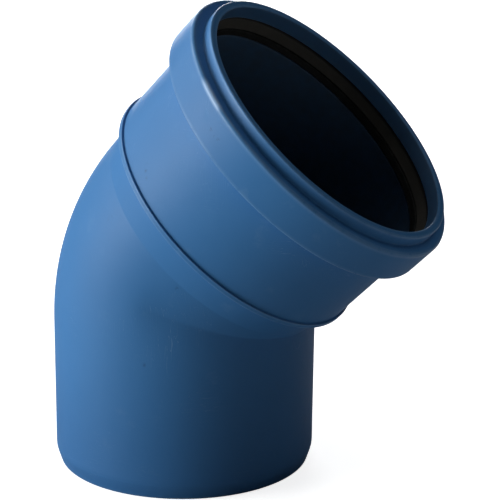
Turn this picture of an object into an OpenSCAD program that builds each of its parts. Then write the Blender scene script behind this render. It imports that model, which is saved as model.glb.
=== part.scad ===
// Push-fit 45 degree elbow for 110 mm pipe: plain spigot at one end, ring-seal socket at the other.
// The spigot end stands on Z = 0 with its axis on Z. The socket leans towards +X in the XZ plane.

/* [Spigot] */
// Outside diameter of the spigot, the nominal pipe size
spigot_od = 110; // [100:0.5:110.5]
// Wall thickness of the spigot and of the bend
pipe_wall = 3.4; // [2.2:0.1:8]
// Length of the lead-in taper on the spigot end
taper_length = 5.7; // [1:0.1:12]
// Depth that the taper takes off the tip, on radius
taper_depth = 1.9; // [0.2:0.1:3]

/* [Bend] */
// Angle between the two axes
bend_angle = 45; // [10:1:60]
// Height of the point where the two axes cross
axes_height = 84.4; // [60:0.1:160]
// Centreline radius of the bend
bend_radius = 56; // [55.5:0.5:84]

/* [Socket] */
// Distance from the crossing of the axes to the pipe stop and the base rib
stop_distance = 36.1; // [25:0.1:70]
// Distance from the crossing of the axes to the end of the mouth
mouth_distance = 93.4; // [90:0.1:120]
// Gap between the pipe and the socket bore, on radius
bore_clearance = 0.5; // [0.2:0.05:1.5]
// Outside diameter of the socket barrel
barrel_od = 118.2; // [114:0.1:120]
// Outside diameter where the collar starts on the bend
collar_start_od = 110.6; // [110.2:0.1:115]
// Outside diameter where the collar meets the base rib
collar_od = 115; // [111:0.5:120]
// Outside diameter of the base rib
rib_od = 120.4; // [118.4:0.1:128]
// Width of the base rib along the socket
rib_width = 2.1; // [0.5:0.1:6]

/* [Seal housing] */
// Distance from the crossing of the axes to the lower edge of the cap
cap_distance = 74.3; // [50:0.1:78]
// Outside diameter of the cap skirt
cap_od = 129.5; // [126:0.1:140]
// Wall thickness of the cap skirt
skirt_wall = 2.5; // [1:0.1:3.5]
// Height of the hook under the seat flange
hook_height = 1.3; // [0.5:0.1:3]
// Gap between the hook and the barrel, on radius
hook_gap = 0.15; // [0.05:0.05:0.5]
// Length of the cap from its lower edge to its shoulder face
shoulder_height = 14.7; // [13:0.1:18]
// Radius of the rounded shoulder edge
shoulder_round = 1.2; // [0.2:0.1:4]
// Thickness of the cap face over the seal
face_wall = 2.1; // [1:0.1:4]
// Outside diameter of the mouth collar
mouth_od = 119.6; // [117:0.1:126]
// Inside diameter of the mouth
mouth_id = 113.2; // [111:0.1:117]
// Round on the two edges of the mouth
mouth_round = 0.6; // [0.1:0.1:1.5]
// Thickness of the seat flange on the body
flange_wall = 2.2; // [1:0.1:4]
// Thickness of the wall around the seal
seat_wall = 2.3; // [1:0.1:3.5]

/* [Seal] */
// Inside diameter of the seal lip with a pipe in place
lip_id = 110.6; // [110.5:0.05:111.5]
// Thickness of the lip at its tip
lip_tip = 0.7; // [0.3:0.1:1.5]
// Gap from the lip tip to the seat flange
lip_gap = 0.5; // [0.2:0.1:2]
// Inside diameter of the support ring at its inner end
ring_id = 111.5; // [110.8:0.1:114]
// Inside diameter of the support ring at the mouth
ring_mouth_id = 114.4; // [112:0.1:117]
// Length of the outer band of the support ring
ring_band = 3.7; // [1:0.1:5]
// Length of the support ring with its conical leg
ring_length = 5.3; // [4:0.1:7.5]

/* [Hidden] */
$fn = 180;
spigot_r = spigot_od / 2;
pipe_bore_r = spigot_r - pipe_wall;
tangent = bend_radius * tan(bend_angle / 2);
bend_start = axes_height - tangent;
socket_bore_r = spigot_r + bore_clearance;
barrel_r = barrel_od / 2;
cap_r = cap_od / 2;
skirt_bore_r = cap_r - skirt_wall;
seat_bore_r = skirt_bore_r - seat_wall;
flange_start = cap_distance + hook_height;
seat_floor = flange_start + flange_wall;
shoulder = cap_distance + shoulder_height;
seat_end = shoulder - face_wall;
ring_start = seat_end - ring_length;
band_start = seat_end - ring_band;
// The bend's halves and the collar lap each other, with small steps so that no two curved faces coincide
throat_lap = 0.5;
throat_step = 0.1;
collar_lap = 1;
collar_step = 0.3;
collar_bore_r = pipe_bore_r + collar_step;
collar_start = tangent - collar_lap;
// Narrowing of the throat for each millimetre into the bend
throat_draft = 0.01;
// Section of the seal and of the support ring's leg
leg_wall = 0.6;
lip_root = 2.6;
heel_height = 2;
heel_wall = 1.5;
blue = [0.24, 0.47, 0.66];
dark_blue = [0.20, 0.40, 0.58];
black = [0.06, 0.06, 0.07];
brown_black = [0.17, 0.16, 0.15];

// Turns a profile drawn as [radius, distance] about the socket axis
module around_socket() {
  translate([0, 0, axes_height]) rotate([0, bend_angle, 0]) rotate_extrude() children();
}

// Rounds a convex corner at p; sx and sy point from the corner into the material
module corner_round(p, sx, sy, r) {
  difference() {
    translate([p[0] - (sx > 0 ? 1 : r), p[1] - (sy > 0 ? 1 : r)]) square([r + 1, r + 1]);
    translate([p[0] + sx * r, p[1] + sy * r]) circle(r = r);
  }
}

// Straight length that plugs into the next socket
module spigot_tube() {
  rotate_extrude() polygon([
    [pipe_bore_r, 0], [spigot_r - taper_depth, 0], [spigot_r, taper_length],
    [spigot_r, bend_start], [pipe_bore_r, bend_start]
  ]);
}

// Sweeps a profile drawn as [distance from the bend's centre, distance across] round the bend
module around_bend() {
  translate([bend_radius, 0, bend_start]) rotate([90, 0, 180])
    rotate_extrude(angle = bend_angle) children();
}

// Outer half of the bend, a round sweep from one axis to the other
module bend_heel() {
  around_bend() difference() {
    translate([bend_radius, 0]) circle(r = spigot_r);
    translate([bend_radius, 0]) circle(r = pipe_bore_r);
    translate([0, -spigot_od]) square([bend_radius, 2 * spigot_od]);
  }
}

// Cone that carries a straight line on into the bend from z = 0, narrowing a little as a mould's core does
module throat_cone(r) {
  reach = bend_radius + throat_lap;
  cylinder(r1 = r - throat_step, r2 = r - throat_step - reach * throat_draft, h = reach);
}

// Both lines carried on into the inner half of the bend, so that they meet in a creased mitre
module throat_lines(r) {
  intersection() {
    around_bend() translate([0, -spigot_r]) square([bend_radius + throat_lap, spigot_od]);
    union() {
      translate([0, 0, bend_start]) throat_cone(r);
      translate([0, 0, axes_height]) rotate([0, bend_angle, 0]) translate([0, 0, tangent])
        mirror([0, 0, 1]) throat_cone(r);
    }
  }
}

// Inner half of the bend
module bend_throat() {
  difference() {
    throat_lines(spigot_r);
    throat_lines(pipe_bore_r);
  }
}

// Flared collar, which laps the end of the bend, then base rib, barrel, seat flange and seal wall
module socket_tube() {
  around_socket() polygon([
    [collar_bore_r, collar_start], [collar_start_od / 2, collar_start], [collar_od / 2, stop_distance],
    [rib_od / 2, stop_distance], [rib_od / 2, stop_distance + rib_width],
    [barrel_r, stop_distance + rib_width], [barrel_r, flange_start],
    [skirt_bore_r, flange_start], [skirt_bore_r, seat_end], [seat_bore_r, seat_end],
    [seat_bore_r, seat_floor], [socket_bore_r, seat_floor],
    [socket_bore_r, stop_distance], [collar_bore_r, stop_distance]
  ]);
}

// One moulding from the spigot end to the seal seat
module elbow_body() color(blue) {
  spigot_tube();
  bend_heel();
  bend_throat();
  socket_tube();
}

// Cap snapped over the socket end; it holds the seal down and carries the mouth
module retaining_cap() color(dark_blue) around_socket() difference() {
  polygon([
    [barrel_r + hook_gap, cap_distance], [cap_r, cap_distance], [cap_r, shoulder],
    [mouth_od / 2, shoulder], [mouth_od / 2, mouth_distance], [mouth_id / 2, mouth_distance],
    [mouth_id / 2, seat_end], [skirt_bore_r, seat_end], [skirt_bore_r, flange_start],
    [barrel_r + hook_gap, flange_start]
  ]);
  corner_round([cap_r, shoulder], -1, -1, shoulder_round);
  corner_round([mouth_od / 2, mouth_distance], -1, -1, mouth_round);
  corner_round([mouth_id / 2, mouth_distance], 1, -1, mouth_round);
}

// Rubber ring with a lip that leans inwards, towards the pipe stop
module lip_seal() color(black) around_socket() polygon([
  [seat_bore_r, seat_floor], [seat_bore_r, band_start], [ring_mouth_id / 2 + leg_wall, band_start],
  [ring_id / 2 + leg_wall, ring_start], [lip_id / 2 + lip_tip / 2, ring_start],
  [lip_id / 2, seat_floor + lip_gap + lip_tip], [lip_id / 2 + lip_tip, seat_floor + lip_gap],
  [seat_bore_r - lip_root, seat_floor + heel_height], [seat_bore_r - heel_wall, seat_floor]
]);

// Stiff ring above the seal with a conical lead-in
module seal_support_ring() color(brown_black) around_socket() polygon([
  [seat_bore_r, band_start], [seat_bore_r, seat_end], [ring_mouth_id / 2, seat_end],
  [ring_id / 2, ring_start], [ring_id / 2 + leg_wall, ring_start],
  [ring_mouth_id / 2 + leg_wall, band_start]
]);

elbow_body();
retaining_cap();
lip_seal();
seal_support_ring();
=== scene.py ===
import math

import bmesh
import bpy
from mathutils import Matrix, Vector


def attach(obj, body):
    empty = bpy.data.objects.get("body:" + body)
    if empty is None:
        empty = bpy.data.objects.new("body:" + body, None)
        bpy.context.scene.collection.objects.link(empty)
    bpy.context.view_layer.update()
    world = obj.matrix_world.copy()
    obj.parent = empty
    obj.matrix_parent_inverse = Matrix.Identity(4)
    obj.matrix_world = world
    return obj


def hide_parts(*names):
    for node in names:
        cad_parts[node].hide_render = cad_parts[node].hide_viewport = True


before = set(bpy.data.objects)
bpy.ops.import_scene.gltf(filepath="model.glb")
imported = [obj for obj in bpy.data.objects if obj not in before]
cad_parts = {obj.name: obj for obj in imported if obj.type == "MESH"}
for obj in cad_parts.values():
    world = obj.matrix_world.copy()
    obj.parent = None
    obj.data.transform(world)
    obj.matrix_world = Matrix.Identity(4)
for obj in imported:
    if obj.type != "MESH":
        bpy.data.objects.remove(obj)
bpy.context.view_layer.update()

MM = 0.001
ANGLE = math.radians(45)
# Points round each ring
SIDES = 288

# Sizes in millimetres. Distances along the socket start at CROSSING, where the two axes meet
SPIGOT_R = 55.0
BORE_R = 51.6
TAPER_LENGTH = 5.7
TIP_R = 53.1
AXES_HEIGHT = 84.4
BEND_R = 56.0
TANGENT = BEND_R * math.tan(ANGLE / 2)
BEND_START = AXES_HEIGHT - TANGENT
COLLAR_R = 57.5
STOP = 36.1
RIB_R = 60.2
RIB_TOP = 38.2
BARREL_R = 59.1
SOCKET_BORE_R = 55.5
CAP_LOW = 74.3
CAP_R = 64.75
SKIRT_BORE_R = 62.25
FLANGE_LOW = 75.6
SEAT_FLOOR = 77.8
SEAT_BORE_R = 59.95
SEAT_END = 86.9
SHOULDER = 89.0
SHOULDER_ROUND = 1.2
MOUTH_R = 59.8
MOUTH_BORE_R = 56.6
MOUTH_END = 93.4
HOOK_R = BARREL_R + 0.15
RING_START = 83.2
LEG_TIP_R = 56.35
LEG_TIP = 81.3
LEG_TOP_R = 57.8

AXIS = Vector((math.sin(ANGLE), 0, math.cos(ANGLE)))
THROAT = Vector((math.cos(ANGLE), 0, -math.sin(ANGLE)))
ACROSS = Vector((0, 1, 0))
CROSSING = Vector((0, 0, AXES_HEIGHT))

# The bend's rings, in degrees, with extra ones on each side of the crease
BEND_STEP = 0.9375
CREASE_STEPS = (0.4, 0.8, 1.5, 2.2)
CREASE_SOFT = math.radians(1.6)
# Cosine round the tube where the heel starts to turn into the mitred throat, and where it is all mitre
MITRE_FROM = 0.02
MITRE_FULL = 0.42
# How much of a bore's painted shade the mouth's bore has
MOUTH_PAINTED_SHADE = 0.65
# Points closer than this, in mm, are one point
SAME_PLACE = 1e-4
# Arcs with a smaller radius than this, in mm, count as worn edges
WORN_BELOW = 2.0
# Degrees between the points of an arc, and the share of a side that one arc may take
ARC_STEP = 9.0
ARC_SHARE = 0.49
# Steps shorter than this, in mm, aren't divided, and longer ones are divided to about these lengths
SHORTEST = 0.9
LONG_STEP = 4.0
BORE_STEP = 6.0
RING_STEP = 3.0
SEAL_STEP = 1.5
# Distance from an edge, in mm, at which its wear has dropped to EDGE_FADE; it ends at three times that
EDGE_GAP = 0.35
EDGE_FADE = 0.45


# ---------------------------------------------------------------- mesh making


def smoothstep(a, b, x):
    u = min(1.0, max(0.0, (x - a) / (b - a)))
    return u * u * (3 - 2 * u)


def rounded(corners, closed=True):
    """Turns corners (u, v, radius) into a path with an arc at each corner that has a radius.
    Each point comes back as (u, v, wear), where wear is 1 on a small convex arc."""
    n = len(corners)
    area = sum(
        corners[i][0] * corners[(i + 1) % n][1] - corners[(i + 1) % n][0] * corners[i][1] for i in range(n)
    )
    out = []
    for i, (u, v, r) in enumerate(corners):
        if r <= 0 or (not closed and i in (0, n - 1)):
            out.append((u, v, 0.0))
            continue
        p = Vector((u, v))
        a = Vector(corners[i - 1][:2]) - p
        b = Vector(corners[(i + 1) % n][:2]) - p
        la, lb = a.length, b.length
        a.normalize()
        b.normalize()
        half = math.acos(max(-1.0, min(1.0, a.dot(b)))) / 2
        cut = min(r / math.tan(half), la * ARC_SHARE, lb * ARC_SHARE)
        r = cut * math.tan(half)
        centre = p + (a + b).normalized() * (r / math.sin(half))
        start, end = p + a * cut - centre, p + b * cut - centre
        turn = math.pi - 2 * half
        sign = 1.0 if start.x * end.y - start.y * end.x > 0 else -1.0
        convex = 1.0 if (sign > 0) == (area > 0) and r < WORN_BELOW else 0.0
        count = max(2, round(math.degrees(turn) / ARC_STEP))
        for k in range(count + 1):
            c, s = math.cos(sign * turn * k / count), math.sin(sign * turn * k / count)
            q = centre + Vector((start.x * c - start.y * s, start.x * s + start.y * c))
            out.append((q.x, q.y, convex))
    return out


def densify(path, longest, closed=True):
    """Adds points so that no step is much longer than this, with two close to each end of a long step."""
    out = []
    n = len(path)
    for i in range(n if closed else n - 1):
        (u0, v0, w0), (u1, v1, w1) = path[i], path[(i + 1) % n]
        out.append(path[i])
        length = math.hypot(u1 - u0, v1 - v0)
        if length < SHORTEST:
            continue
        near = min(EDGE_GAP, length / 8) / length
        count = max(1, math.ceil(length / longest))
        between = [k / count for k in range(1, count) if 4 * near < k / count < 1 - 4 * near]
        for f in [near, 3 * near] + between + [1 - 3 * near, 1 - near]:
            fade = EDGE_FADE if f in (near, 1 - near) else 0.0
            w = fade * (w0 if f < 0.5 else w1)
            out.append((u0 + (u1 - u0) * f, v0 + (v1 - v0) * f, w))
    if not closed:
        out.append(path[-1])
    return out


def on_socket(r, t, phi):
    """A point at distance t along the socket, at angle phi from the throat's side."""
    return CROSSING + AXIS * t + THROAT * (r * math.cos(phi)) + ACROSS * (r * math.sin(phi))


def on_spigot(r, z, phi):
    """A point at height z of the spigot, at angle phi from the throat's side."""
    return Vector((r * math.cos(phi), r * math.sin(phi), z))


def on_bend(r, a, phi):
    """A point of the bend, at angle a round its centre. The heel is a round sweep. Towards the
    throat it turns into a mitre of the two straight tubes, with a soft crease between them."""
    mitred = smoothstep(MITRE_FROM, MITRE_FULL, math.cos(phi))
    from_crease = math.sqrt((a - ANGLE / 2) ** 2 + CREASE_SOFT**2) - CREASE_SOFT
    from_end = max(0.0, ANGLE / 2 - from_crease)
    out = (BEND_R - r * math.cos(phi)) * (1 + mitred * (1 / math.cos(from_end) - 1))
    return Vector((BEND_R - out * math.cos(a), r * math.sin(phi), BEND_START + out * math.sin(a)))


def skin(name, rings):
    """A closed tube of rings, each a list of (point in mm, wear, painted shade), joined into quads."""
    mesh = bpy.data.meshes.new(name)
    n, m = len(rings), len(rings[0])
    verts = [p * MM for ring in rings for p, _, _ in ring]
    faces = []
    for i in range(n):
        j = (i + 1) % n
        for k in range(m):
            k_next = (k + 1) % m
            faces.append((i * m + k, i * m + k_next, j * m + k_next, j * m + k))
    mesh.from_pydata(verts, [], faces)
    wear = mesh.attributes.new("wear", "FLOAT", "POINT")
    wear.data.foreach_set("value", [w for ring in rings for _, w, _ in ring])
    # Painted shade per point, which the materials use to darken the bores and the gap above the support
    # band
    painted_shade = mesh.attributes.new("painted_shade", "FLOAT", "POINT")
    painted_shade.data.foreach_set("value", [s for ring in rings for _, _, s in ring])
    bm = bmesh.new()
    bm.from_mesh(mesh)
    bmesh.ops.remove_doubles(bm, verts=bm.verts, dist=SAME_PLACE * MM)
    bmesh.ops.recalc_face_normals(bm, faces=bm.faces)
    bm.to_mesh(mesh)
    bm.free()
    for f in mesh.polygons:
        f.use_smooth = True
    obj = bpy.data.objects.new(name, mesh)
    bpy.context.scene.collection.objects.link(obj)
    shade = obj.modifiers.new("even shading", "WEIGHTED_NORMAL")
    shade.mode = "FACE_AREA_WITH_ANGLE"
    shade.weight = 80
    shade.keep_sharp = True
    return obj


def circle_of(place, r, s, wear=0.0, painted_shade=0.0):
    """One ring of radius r at place s along the part; its painted shade is 1 on a bore's wall."""
    return [(place(r, s, 2 * math.pi * k / SIDES), wear, painted_shade) for k in range(SIDES)]


def ring_piece(name, corners, longest=RING_STEP, painted_shade=lambda r: 0.0):
    """A ring round the socket axis. The painted shade of each point comes from its radius."""
    path = densify(rounded(corners), longest)
    return skin(name, [circle_of(on_socket, r, t, w, painted_shade(r)) for r, t, w in path])


# ---------------------------------------------------------------- materials


class Nodes:
    """A short way to build a node tree."""

    def __init__(self, name):
        self.mat = bpy.data.materials.new(name)
        self.mat.use_nodes = True
        self.tree = self.mat.node_tree
        self.tree.nodes.clear()
        self.out = self.add("ShaderNodeOutputMaterial")
        self.bsdf = self.add("ShaderNodeBsdfPrincipled")
        self.link(self.bsdf.outputs[0], self.out.inputs["Surface"])
        self.where = self.add("ShaderNodeTexCoord").outputs["Object"]

    def add(self, kind, **props):
        node = self.tree.nodes.new(kind)
        for k, v in props.items():
            setattr(node, k, v)
        return node

    def link(self, a, b):
        self.tree.links.new(a, b)

    def put(self, socket, value):
        if isinstance(value, bpy.types.NodeSocket):
            self.link(value, socket)
        else:
            socket.default_value = value

    def moved(self, scale=(1, 1, 1), rotation=(0, 0, 0), location=(0, 0, 0)):
        m = self.add("ShaderNodeMapping")
        self.link(self.where, m.inputs["Vector"])
        m.inputs["Scale"].default_value = scale
        m.inputs["Rotation"].default_value = rotation
        m.inputs["Location"].default_value = location
        return m.outputs[0]

    def noise(self, scale, detail=2.0, rough=0.5, vector=None, distortion=0.0):
        n = self.add("ShaderNodeTexNoise")
        self.link(vector or self.where, n.inputs["Vector"])
        n.inputs["Scale"].default_value = scale
        n.inputs["Detail"].default_value = detail
        n.inputs["Roughness"].default_value = rough
        n.inputs["Distortion"].default_value = distortion
        return n.outputs["Fac"]

    def math(self, op, a, b=0.0, clamp=False):
        n = self.add("ShaderNodeMath", operation=op, use_clamp=clamp)
        self.put(n.inputs[0], a)
        self.put(n.inputs[1], b)
        return n.outputs[0]

    def range(self, value, low, high, to_low=0.0, to_high=1.0):
        n = self.add("ShaderNodeMapRange", interpolation_type="SMOOTHSTEP")
        self.link(value, n.inputs["Value"])
        n.inputs["From Min"].default_value = low
        n.inputs["From Max"].default_value = high
        n.inputs["To Min"].default_value = to_low
        n.inputs["To Max"].default_value = to_high
        return n.outputs["Result"]

    def mix(self, factor, a, b):
        n = self.add("ShaderNodeMix", data_type="RGBA")
        self.put(n.inputs["Factor"], factor)
        self.put(n.inputs[6], a)
        self.put(n.inputs[7], b)
        return n.outputs[2]

    def attribute(self, name):
        return self.add("ShaderNodeAttribute", attribute_name=name).outputs["Fac"]

    def spot(self, centre, radius):
        """1 at a point of the object, falling to 0 at that radius (metres)."""
        n = self.add("ShaderNodeVectorMath", operation="DISTANCE")
        self.link(self.where, n.inputs[0])
        n.inputs[1].default_value = centre
        return self.range(n.outputs["Value"], 0.0, radius, 1.0, 0.0)

    def bump(self, height, strength, distance, normal=None):
        n = self.add("ShaderNodeBump")
        self.link(height, n.inputs["Height"])
        n.inputs["Strength"].default_value = strength
        n.inputs["Distance"].default_value = distance
        if normal is not None:
            self.link(normal, n.inputs["Normal"])
        return n.outputs[0]


def scratches(n, turn, spacing, width, seed):
    """Sparse hairlines. They lie where a stretched noise crosses its middle, and only where a
    broad noise allows."""
    v = n.moved(scale=spacing, rotation=turn, location=(seed, seed * 0.7, -seed))
    line = n.math("ABSOLUTE", n.math("SUBTRACT", n.noise(1.0, 1.0, 0.4, vector=v, distortion=0.1), 0.5))
    thin = n.range(line, 0.0, width, 1.0, 0.0)
    keep = n.range(n.noise(30.0, 2.0, 0.5, vector=n.moved(location=(seed, 2, 1))), 0.55, 0.68)
    return n.math("MULTIPLY", thin, keep)


MOTTLE_TONE = (0.16, 0.36, 0.60, 1)
SPECK_TONE = (0.02, 0.06, 0.12, 1)
HAIR_TONE = (0.30, 0.50, 0.72, 1)
RUB_TONE = (0.28, 0.46, 0.66, 1)
# Pale for worn edges, partly wear and partly a painted highlight
EDGE_WEAR_AND_HIGHLIGHT_TONE = (0.34, 0.54, 0.74, 1)
# Pale for the painted highlights on the cap's shoulder
HIGHLIGHT_TONE = (0.52, 0.72, 1.00, 1)
# Dark for the painted shade near the spigot's end
LOW_SHADE_TONE = (0.020, 0.100, 0.260, 1)
MARK_TONE = (0.018, 0.070, 0.170, 1)
# Dull grey-blue for the painted shade in the bores
BORE_SHADE_TONE = (0.060, 0.080, 0.100, 1)
# Height in metres up to which painted shade darkens the plastic near the spigot's end
LOW_SHADE_HEIGHT = 0.068


def blue_plastic(name, deep, light, rough, seed, marks, highlights=()):
    """Satin plastic with a faint mottle, specks, hairlines, rubbed places, worn edges paled partly as a
    painted highlight, painted highlights at given places, painted shade near the spigot's end and marks.
    Marks and painted highlights are (place, radius) in mm. Wear makes an edge glossier, and the
    painted-shade attribute darkens a bore with painted shade."""
    n = Nodes(name)
    cloud = n.noise(16.0, 3.0, 0.55, vector=n.moved(location=(seed, 0, 0)))
    mottle = n.noise(210.0, 3.0, 0.6)
    speck = n.range(n.noise(1500.0, 2.0, 0.6), 0.68, 0.76)
    colour = n.mix(n.range(cloud, 0.3, 0.7), deep, light)
    colour = n.mix(n.math("MULTIPLY", mottle, 0.06), colour, MOTTLE_TONE)
    colour = n.mix(n.math("MULTIPLY", speck, 0.10), colour, SPECK_TONE)
    hair_a = scratches(n, (0.2, 0.5, 0.1), (60, 60, 900), 0.006, seed)
    hair_b = scratches(n, (0.9, 0.2, 1.1), (700, 80, 60), 0.006, seed + 3)
    hair = n.math("MAXIMUM", hair_a, hair_b)
    rub = n.range(n.noise(70.0, 4.0, 0.65, vector=n.moved(location=(0, seed, 5))), 0.60, 0.74)
    edge = n.math("MULTIPLY", n.attribute("wear"), n.range(n.noise(260.0, 4.0, 0.7), 0.26, 0.50))
    colour = n.mix(n.math("MULTIPLY", hair, 0.22), colour, HAIR_TONE)
    colour = n.mix(n.math("MULTIPLY", rub, 0.08), colour, RUB_TONE)
    # The pale mix on worn edges is partly wear and partly a painted highlight line along them
    colour = n.mix(n.math("MULTIPLY", edge, 0.15), colour, EDGE_WEAR_AND_HIGHLIGHT_TONE)
    # Painted highlights: pale spots on the worn edge of the cap's shoulder
    for place, radius in highlights:
        highlight_mask = n.math("MULTIPLY", n.spot(place * MM, radius * MM), n.attribute("wear"))
        colour = n.mix(n.math("MULTIPLY", highlight_mask, 0.52), colour, HIGHLIGHT_TONE)
    # Painted shade: the plastic darkens towards the spigot's end, near the floor
    height = n.add("ShaderNodeSeparateXYZ")
    n.link(n.where, height.inputs[0])
    low = n.range(height.outputs["Z"], 0.0, LOW_SHADE_HEIGHT, 0.50, 0.0)
    colour = n.mix(low, colour, LOW_SHADE_TONE)
    smear = n.range(n.noise(800.0, 3.0, 0.6, distortion=0.6), 0.42, 0.60)
    for place, radius in marks:
        spot = n.math("MULTIPLY", n.spot(place * MM, radius * MM), smear)
        colour = n.mix(n.math("MULTIPLY", spot, 0.55), colour, MARK_TONE)
    # Painted shade: the bores are darkened towards a dull grey-blue
    bore_shade = n.math("MULTIPLY", n.attribute("painted_shade"), n.range(mottle, 0.2, 0.8, 0.60, 0.76))
    colour = n.mix(bore_shade, colour, BORE_SHADE_TONE)
    n.link(colour, n.bsdf.inputs["Base Color"])
    r = n.math("ADD", rough, n.math("MULTIPLY", n.math("SUBTRACT", mottle, 0.5), 0.10))
    r = n.math("ADD", r, n.math("MULTIPLY", rub, 0.12))
    r = n.math("ADD", r, n.math("MULTIPLY", hair, 0.08))
    r = n.math("SUBTRACT", r, n.math("MULTIPLY", n.attribute("wear"), 0.16), clamp=True)
    n.link(r, n.bsdf.inputs["Roughness"])
    n.bsdf.inputs["IOR"].default_value = 1.5
    n.bsdf.inputs["Specular IOR Level"].default_value = 0.26
    peel = n.bump(n.noise(120.0, 2.0, 0.5), 0.10, 0.0006)
    grain = n.bump(n.noise(2600.0, 2.0, 0.6), 0.10, 0.00005, normal=peel)
    cut = n.bump(n.math("MULTIPLY", hair, -1.0), 0.25, 0.00008, normal=grain)
    n.link(cut, n.bsdf.inputs["Normal"])
    return n


DUST_TONE = (0.10, 0.10, 0.10, 1)
RUBBED_TONE = (0.09, 0.09, 0.09, 1)
# Near black for the painted shade in the gap above the support band
GAP_SHADE_TONE = (0.004, 0.005, 0.006, 1)


def rubber(name, dark, dusty, rough, shine, grain_scale, seed):
    """Matt dark rubber or plastic with dust and rubbed edges, darkened near black as painted shade where
    the painted-shade attribute is set.
    """
    n = Nodes(name)
    cloud = n.noise(45.0, 4.0, 0.6, vector=n.moved(location=(seed, 1, 0)))
    dust = n.range(n.noise(900.0, 3.0, 0.7), 0.55, 0.75)
    colour = n.mix(n.range(cloud, 0.3, 0.75), dark, dusty)
    colour = n.mix(n.math("MULTIPLY", dust, 0.12), colour, DUST_TONE)
    edge = n.math("MULTIPLY", n.attribute("wear"), n.range(n.noise(300.0, 3.0, 0.7), 0.4, 0.65))
    colour = n.mix(n.math("MULTIPLY", edge, 0.15), colour, RUBBED_TONE)
    # Painted shade: near black where the painted-shade attribute is set, as in the gap above the support
    # band
    colour = n.mix(n.math("MULTIPLY", n.attribute("painted_shade"), 0.85), colour, GAP_SHADE_TONE)
    n.link(colour, n.bsdf.inputs["Base Color"])
    r = n.math("ADD", rough, n.math("MULTIPLY", n.math("SUBTRACT", cloud, 0.5), 0.2), clamp=True)
    n.link(r, n.bsdf.inputs["Roughness"])
    n.bsdf.inputs["IOR"].default_value = 1.5
    n.bsdf.inputs["Specular IOR Level"].default_value = shine
    grain = n.bump(n.noise(grain_scale, 3.0, 0.6), 0.25, 0.0001)
    n.link(grain, n.bsdf.inputs["Normal"])
    return n


# Where small dark marks sit on the plastic, and their radii in millimetres
BODY_MARKS = (
    (on_socket(BARREL_R, 46.0, math.radians(-114.5)), 1.3),
    (on_socket(BARREL_R, 44.6, math.radians(-112.8)), 1.2),
    (on_socket(BARREL_R, 43.4, math.radians(-110.0)), 1.2),
    (on_bend(SPIGOT_R, math.radians(40), math.radians(-113)), 2.2),
    (on_bend(SPIGOT_R, math.radians(43), math.radians(-72)), 1.4),
    (on_spigot(SPIGOT_R, 55.7, math.radians(-76)), 1.3),
)
CAP_MARKS = (
    (on_socket(CAP_R, 81.4, math.radians(-101.8)), 1.3),
    (on_socket(CAP_R, 80.9, math.radians(-99.0)), 1.0),
    (on_socket(CAP_R, 81.2, math.radians(-97.5)), 1.3),
)
# Where a pale highlight is painted on the worn edge of the cap's shoulder
CAP_HIGHLIGHTS = (
    (on_socket(CAP_R, SHOULDER - 1.2, math.radians(-114.5)), 5.0),
    (on_socket(CAP_R, SHOULDER - 1.2, math.radians(-110.5)), 5.5),
    (on_socket(CAP_R, SHOULDER - 1.2, math.radians(-106.5)), 4.5),
)
body_mat = blue_plastic(
    "satin_blue", (0.036, 0.170, 0.410, 1), (0.042, 0.184, 0.436, 1), 0.52, 1.0, BODY_MARKS
)
cap_mat = blue_plastic(
    "satin_blue_cap", (0.036, 0.168, 0.405, 1), (0.042, 0.182, 0.430, 1), 0.50, 7.0, CAP_MARKS, CAP_HIGHLIGHTS
)
lip_mat = rubber(
    "black_rubber", (0.004, 0.005, 0.004, 1), (0.009, 0.010, 0.009, 1), 0.62, 0.25, 2200.0, 2.0
)
band_mat = rubber(
    "brown_black_band", (0.044, 0.042, 0.034, 1), (0.068, 0.064, 0.052, 1), 0.75, 0.5, 1700.0, 5.0
)


# ---------------------------------------------------------------- pieces

# Sections are lists of corners (radius, distance along the axis, rounding), all in mm


def bend_steps():
    """The angles of the bend's rings, in degrees."""
    turn = math.degrees(ANGLE)
    even = [i * BEND_STEP for i in range(round(turn / BEND_STEP) + 1)]
    close = [turn / 2 + side * d for side in (-1, 1) for d in CREASE_STEPS]
    return sorted({round(a, 3) for a in even + close})


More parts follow.
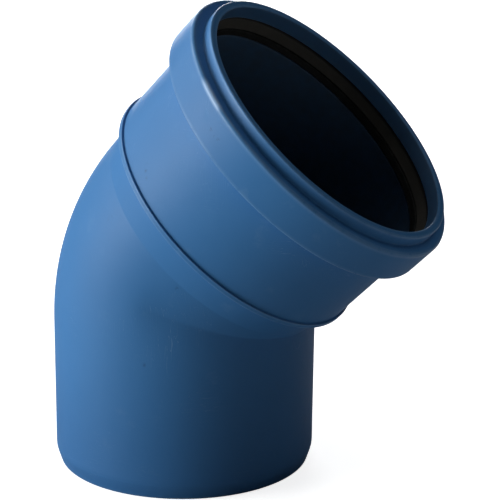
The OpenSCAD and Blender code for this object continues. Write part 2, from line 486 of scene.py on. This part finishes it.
def body_rings():
    """The body's rings, up the outside from the spigot's end to the mouth and back down the bore."""
    tip = [
        (BORE_R, 0.0, 0),
        (TIP_R, 0.0, 0.45),
        (SPIGOT_R, TAPER_LENGTH, 9.0),
        (SPIGOT_R, BEND_START, 0),
    ]
    outer_spigot = densify(rounded(tip, False), LONG_STEP, False)
    rings = [circle_of(on_spigot, r, z, w) for r, z, w in outer_spigot[1:-1]]
    steps = bend_steps()
    rings += [circle_of(on_bend, SPIGOT_R, math.radians(a)) for a in steps]
    shell = rounded(
        [
            (SPIGOT_R, TANGENT, 0),
            (SPIGOT_R, TANGENT + 0.6, 5.0),
            (COLLAR_R, STOP, 0.3),
            (RIB_R, STOP, 0.3),
            (RIB_R, RIB_TOP, 0.35),
            (BARREL_R, RIB_TOP, 0.35),
            (BARREL_R, FLANGE_LOW, 0),
            (SKIRT_BORE_R, FLANGE_LOW, 0.3),
            (SKIRT_BORE_R, SEAT_END, 0.3),
            (SEAT_BORE_R, SEAT_END, 0),
            (SEAT_BORE_R, SEAT_FLOOR, 0.3),
            (SOCKET_BORE_R, SEAT_FLOOR, 0.4),
            (SOCKET_BORE_R, STOP, 0.6),
            (BORE_R, STOP, 0.5),
            (BORE_R, TANGENT, 0),
        ],
        False,
    )
    shell = densify(shell, LONG_STEP, False)[1:]
    top = next(i for i, (r, t, w) in enumerate(shell) if t >= SEAT_END - SAME_PLACE)
    rings += [circle_of(on_socket, r, t, w) for r, t, w in shell[:top]]
    # The bore's rings carry painted shade
    rings += [circle_of(on_socket, r, t, w, 1.0) for r, t, w in shell[top:]]
    rings += [circle_of(on_bend, BORE_R, math.radians(a), 0.0, 1.0) for a in reversed(steps[1:-1])]
    end = [(BORE_R, BEND_START, 0), (BORE_R, 0.0, 0.4), (TIP_R, 0.0, 0)]
    inner = densify(rounded(end, False), BORE_STEP, False)
    rings += [circle_of(on_spigot, r, z, w, 1.0) for r, z, w in inner[:-2]]
    rings += [circle_of(on_spigot, r, z, w) for r, z, w in inner[-2:-1]]
    return rings


body = skin("elbow_moulding", body_rings())
cap = ring_piece(
    "socket_cap",
    [
        (HOOK_R, CAP_LOW, 0.3),
        (CAP_R, CAP_LOW, 0.5),
        (CAP_R, SHOULDER, SHOULDER_ROUND),
        (MOUTH_R, SHOULDER, 0.5),
        (MOUTH_R, MOUTH_END, 0.6),
        (MOUTH_BORE_R, MOUTH_END, 0.6),
        (MOUTH_BORE_R, SEAT_END, 0.4),
        (SKIRT_BORE_R, SEAT_END, 0.3),
        (SKIRT_BORE_R, FLANGE_LOW, 0.3),
        (HOOK_R, FLANGE_LOW, 0.3),
    ],
    # The mouth's bore gets part of the painted bore shade
    painted_shade=lambda r: MOUTH_PAINTED_SHADE if r <= MOUTH_BORE_R else 0.0,
)
lip = ring_piece(
    "rubber_lip",
    [
        (SEAT_BORE_R, SEAT_FLOOR, 0.3),
        (SEAT_BORE_R, RING_START, 0.2),
        (LEG_TOP_R, RING_START, 0.3),
        (LEG_TIP_R, LEG_TIP, 0.3),
        (55.6, 80.9, 0.5),
        (54.9, 78.6, 0.35),
        (55.4, 78.2, 0.3),
        (57.2, 79.9, 0.6),
        (58.3, 79.4, 0.5),
        (58.4, SEAT_FLOOR, 0.4),
    ],
    SEAL_STEP,
)
band = ring_piece(
    "support_band",
    [
        (SEAT_BORE_R, RING_START, 0.2),
        (SEAT_BORE_R, SEAT_END - 0.05, 0.2),
        (58.9, SEAT_END - 0.05, 0.3),
        (57.3, SEAT_END - 1.5, 0.35),
        (55.75, 81.5, 0.3),
        (LEG_TIP_R, LEG_TIP, 0.25),
        (LEG_TOP_R, RING_START, 0.3),
    ],
    SEAL_STEP,
    # Painted shade in the gap between the band's top and the cap
    painted_shade=lambda r: smoothstep(57.3, 57.7, r),
)

for piece, node, slot, made in (
    (body, "elbow_body", "body_plastic", body_mat),
    (cap, "retaining_cap", "cap_plastic", cap_mat),
    (lip, "lip_seal", "seal_rubber", lip_mat),
    (band, "seal_support_ring", "ring_plastic", band_mat),
):
    piece.data.materials.append(made.mat)
    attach(piece, "root")
    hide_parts(node)
    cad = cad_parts[node]
    cad.data.materials.clear()
    cad.data.materials.append(made.mat)


# ---------------------------------------------------------------- floor, light and camera

FLOOR_HALF = 6
floor_mesh = bpy.data.meshes.new("floor")
floor_corners = [(x * FLOOR_HALF, y * FLOOR_HALF, 0) for x, y in ((-1, -1), (1, -1), (1, 1), (-1, 1))]
floor_mesh.from_pydata(floor_corners, [], [(0, 1, 2, 3)])
floor = bpy.data.objects.new("floor", floor_mesh)
bpy.context.scene.collection.objects.link(floor)
f = Nodes("pale_floor")
tone = f.noise(3.0, 2.0, 0.5)
f.link(f.mix(tone, (0.86, 0.86, 0.86, 1), (0.90, 0.90, 0.90, 1)), f.bsdf.inputs["Base Color"])
f.bsdf.inputs["Roughness"].default_value = 0.9
f.bsdf.inputs["Emission Color"].default_value = (1, 1, 1, 1)
f.bsdf.inputs["Emission Strength"].default_value = 0.8
# The camera sees a white floor; everything else is lit by it as if it were mid grey
dim = f.add("ShaderNodeBsdfDiffuse")
dim.inputs["Color"].default_value = (0.46, 0.46, 0.46, 1)
pick = f.add("ShaderNodeMixShader")
f.link(f.add("ShaderNodeLightPath").outputs["Is Camera Ray"], pick.inputs[0])
f.link(dim.outputs[0], pick.inputs[1])
f.link(f.bsdf.outputs[0], pick.inputs[2])
f.link(pick.outputs[0], f.out.inputs["Surface"])
floor_mesh.materials.append(f.mat)

world = bpy.data.worlds.new("studio")
bpy.context.scene.world = world
world.use_nodes = True
wt = world.node_tree
wt.nodes.clear()
w_out = wt.nodes.new("ShaderNodeOutputWorld")
w_mix = wt.nodes.new("ShaderNodeMixShader")
w_seen = wt.nodes.new("ShaderNodeBackground")
w_light = wt.nodes.new("ShaderNodeBackground")
w_path = wt.nodes.new("ShaderNodeLightPath")
w_seen.inputs["Color"].default_value = (1, 1, 1, 1)
w_light.inputs["Color"].default_value = (1, 1, 1, 1)
w_light.inputs["Strength"].default_value = 0.02
wt.links.new(w_path.outputs["Is Camera Ray"], w_mix.inputs[0])
wt.links.new(w_light.outputs[0], w_mix.inputs[1])
wt.links.new(w_seen.outputs[0], w_mix.inputs[2])
wt.links.new(w_mix.outputs[0], w_out.inputs["Surface"])

# Large soft lamps, far enough off to be even: name, azimuth from +Y towards +X, elevation, strength
SOFTNESS = math.radians(35)
LAMPS = (
    ("key", 225, 8, 0.75),
    ("key_left", 240, 8, 0.28),
    ("key_high", 240, 35, 0.15),
    ("left_high", 270, 35, 0.30),
    ("rim", 330, 8, 0.60),
    ("top", 60, 62, 0.11),
)
for name, azimuth, elevation, strength in LAMPS:
    data = bpy.data.lights.new(name, "SUN")
    data.angle = SOFTNESS
    data.energy = math.pi * strength
    lamp = bpy.data.objects.new(name, data)
    az, el = math.radians(azimuth), math.radians(elevation)
    towards = Vector((math.sin(az) * math.cos(el), math.cos(az) * math.cos(el), math.sin(el)))
    lamp.rotation_mode = "QUATERNION"
    lamp.rotation_quaternion = towards.to_track_quat("Z", "Y")
    bpy.context.scene.collection.objects.link(lamp)

CAMERA_AT = (0.27683, -0.46551, 0.21656)
YAW, PITCH, ROLL = math.radians(-27.86), math.radians(-13.24), math.radians(0.72)
SENSOR = 36.0
LENS = 95.34
forward = Vector((math.sin(YAW) * math.cos(PITCH), math.cos(YAW) * math.cos(PITCH), math.sin(PITCH)))
right = Vector((math.cos(YAW), -math.sin(YAW), 0))
up = right.cross(forward)
rolled_right = right * math.cos(ROLL) + up * math.sin(ROLL)
rolled_up = -right * math.sin(ROLL) + up * math.cos(ROLL)
cam_data = bpy.data.cameras.new("camera")
cam_data.sensor_width = SENSOR
cam_data.lens = LENS
cam = bpy.data.objects.new("camera", cam_data)
bpy.context.scene.collection.objects.link(cam)
facing = Matrix((rolled_right, rolled_up, -forward)).transposed().to_4x4()
cam.matrix_world = Matrix.Translation(CAMERA_AT) @ facing
bpy.context.scene.camera = cam
bpy.context.scene.view_settings.view_transform = "Standard"

bpy.context.view_layer.update()
